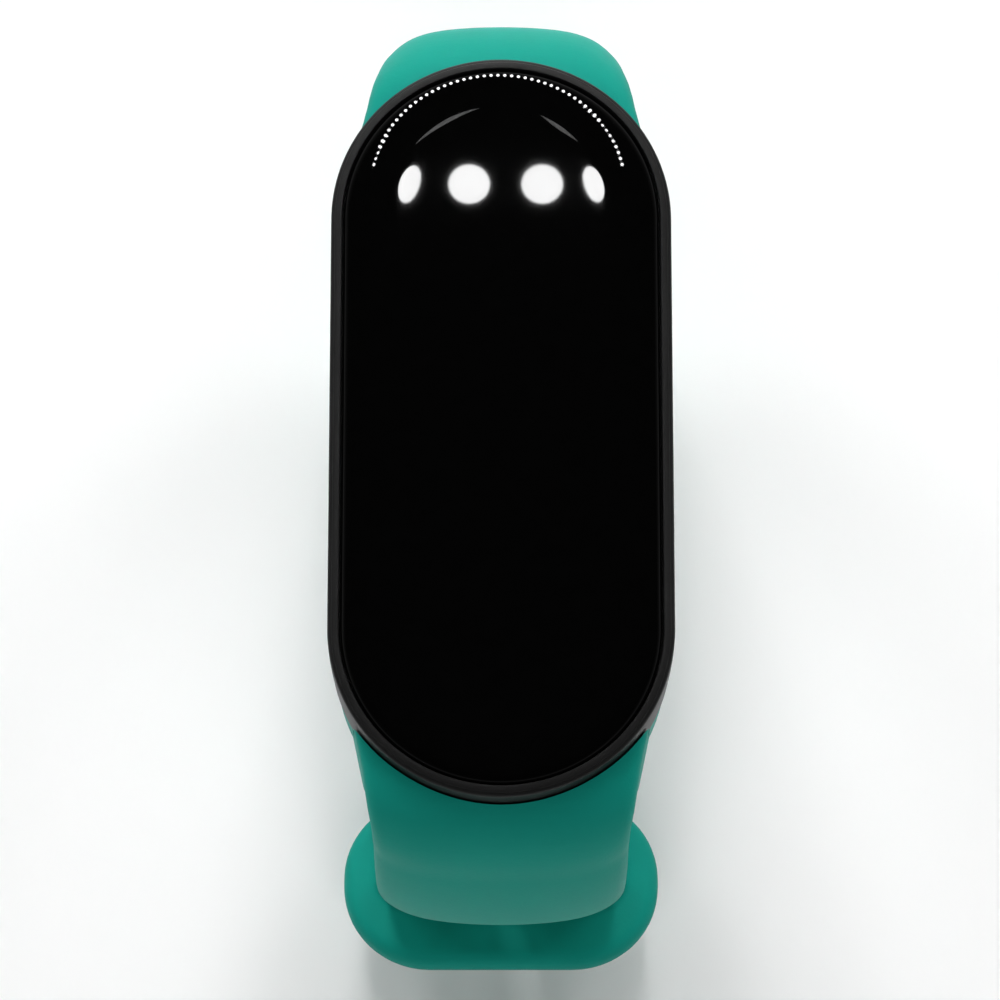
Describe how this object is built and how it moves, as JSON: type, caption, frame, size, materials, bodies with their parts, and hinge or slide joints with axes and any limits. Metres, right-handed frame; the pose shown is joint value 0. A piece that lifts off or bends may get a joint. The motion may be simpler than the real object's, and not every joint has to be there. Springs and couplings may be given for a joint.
{
  "type": "fitness tracker band",
  "caption": "Pill-shaped fitness tracker capsule clipped into a closed elastomer wrist strap with a keeper loop and button stud.",
  "frame": {"origin": "centre of the screen's front face", "axes": "+Z out of the screen away from the wrist, +Y towards the capsule's top end and the short strap arm, +X to the right of a person reading the screen"},
  "size_m": [0.0212, 0.0584, 0.0511],
  "materials": {
    "strap": "soft-touch moulded elastomer, matt",
    "case": "fine satin black",
    "screen_glass": "polished, black printed behind",
    "black_adhesive": "matt",
    "clear_film": "clear film",
    "display": "unlit display",
    "foam": "black foam",
    "frame_plastic": "moulded",
    "ribbon": "amber polyimide",
    "seal_rubber": "silicone",
    "battery_foil": "foil pouch",
    "circuit_board": "green solder mask",
    "chip": "black epoxy",
    "antenna_ceramic": "unglazed",
    "steel": "plain",
    "tungsten": "sintered",
    "lamp": "clear lens",
    "detector": "dark lens",
    "sensor_window": "smoked, polished",
    "gold_contact": "gold plated",
    "stud_metal": "satin"
  },
  "bodies": {
    "cradle": {"strap_cradle": "strap", "upper_arm_root": "strap", "lower_arm_root": "strap"},
    "capsule": {"cover_glass": "screen_glass", "case_body": "case", "screen_glue": "black_adhesive", "touch_layer": "clear_film", "display_panel": "display", "display_foam": "foam", "inner_frame": "frame_plastic", "display_ribbon": "ribbon", "back_cover": "case", "back_seal": "seal_rubber", "battery_cell": "battery_foil", "battery_tape": "black_adhesive", "main_board": "circuit_board", "processor_chip": "chip", "memory_chip": "chip", "radio_chip": "chip", "motion_chip": "chip", "antenna": "antenna_ceramic", "motor_can": "steel", "motor_base": "steel", "motor_shaft": "steel", "sensor_board": "circuit_board", "sensor_lamps": "lamp", "light_detectors": "detector", "light_baffle": "frame_plastic", "sensor_window": "sensor_window", "sensor_ribbon": "ribbon", "charge_contacts": "gold_contact", "contact_seals": "seal_rubber"},
    "rotor": {"rotor_weight": "tungsten"},
    "short_arm_side": {"upper_arm_side": "strap"},
    "short_arm_back": {"upper_arm_back": "strap"},
    "short_arm_end": {"buckle_end": "strap", "stud_disc": "stud_metal", "closure_stud": "stud_metal"},
    "long_arm_side": {"lower_arm_side": "strap", "lower_arm_threaded": "strap"},
    "tail_near": {"tail_flat": "strap"},
    "tail_centre": {"tail_middle": "strap"},
    "tail_end": {"tail_tip": "strap"}
  },
  "joints": [
    {"name": "short_arm_open", "type": "hinge", "parent": "cradle", "child": "short_arm_side", "pos_m": [0, 0.0308, -0.02088], "axis": [1, 0, 0], "range_deg": [0, 45], "stiffness_Nm_per_rad": 0.08},
    {"name": "short_arm_uncurl_side", "type": "hinge", "parent": "short_arm_side", "child": "short_arm_back", "pos_m": [0, 0.0254, -0.04072], "axis": [1, 0, 0], "range_deg": [0, 35], "stiffness_Nm_per_rad": 0.008},
    {"name": "short_arm_uncurl_back", "type": "hinge", "parent": "short_arm_back", "child": "short_arm_end", "pos_m": [0, 0.01599, -0.04731], "axis": [1, 0, 0], "range_deg": [0, 35], "stiffness_Nm_per_rad": 0.008},
    {"name": "long_arm_open", "type": "hinge", "parent": "cradle", "child": "long_arm_side", "pos_m": [0, -0.02714, -0.01589], "axis": [-1, 0, 0], "range_deg": [0, 40], "stiffness_Nm_per_rad": 0.08, "deforming": ["lower_arm_threaded"]},
    {"name": "long_arm_unfold", "type": "hinge", "parent": "long_arm_side", "child": "tail_near", "pos_m": [0, -0.01726, -0.04932], "axis": [-1, 0, 0], "range_deg": [0, 73.5], "stiffness_Nm_per_rad": 0.008, "deforming": ["tail_flat"]},
    {"name": "tail_uncurl_middle", "type": "hinge", "parent": "tail_near", "child": "tail_centre", "pos_m": [0, 0.01833, -0.0488], "axis": [-1, 0, 0], "range_deg": [0, 35], "stiffness_Nm_per_rad": 0.008, "deforming": ["tail_middle"]},
    {"name": "tail_uncurl_tip", "type": "hinge", "parent": "tail_centre", "child": "tail_end", "pos_m": [0, 0.02669, -0.04263], "axis": [-1, 0, 0], "range_deg": [0, 35], "stiffness_Nm_per_rad": 0.008, "deforming": ["tail_tip"]},
    {"name": "capsule_release", "type": "slide", "parent": "cradle", "child": "capsule", "axis": [0, 0, 1], "range_m": [0, 0.015]},
    {"name": "rotor_spin", "type": "hinge", "parent": "capsule", "child": "rotor", "pos_m": [0, -0.0132, -0.004], "axis": [0, 0, 1], "continuous": true}
  ],
  "couplings": [
    {"joint": "short_arm_uncurl_side", "follows": "short_arm_open", "ratio": 0.77778},
    {"joint": "short_arm_uncurl_back", "follows": "short_arm_open", "ratio": 0.77778},
    {"joint": "long_arm_unfold", "follows": "long_arm_open", "ratio": 1.8375},
    {"joint": "tail_uncurl_middle", "follows": "long_arm_open", "ratio": 0.875},
    {"joint": "tail_uncurl_tip", "follows": "long_arm_open", "ratio": 0.875}
  ]
}
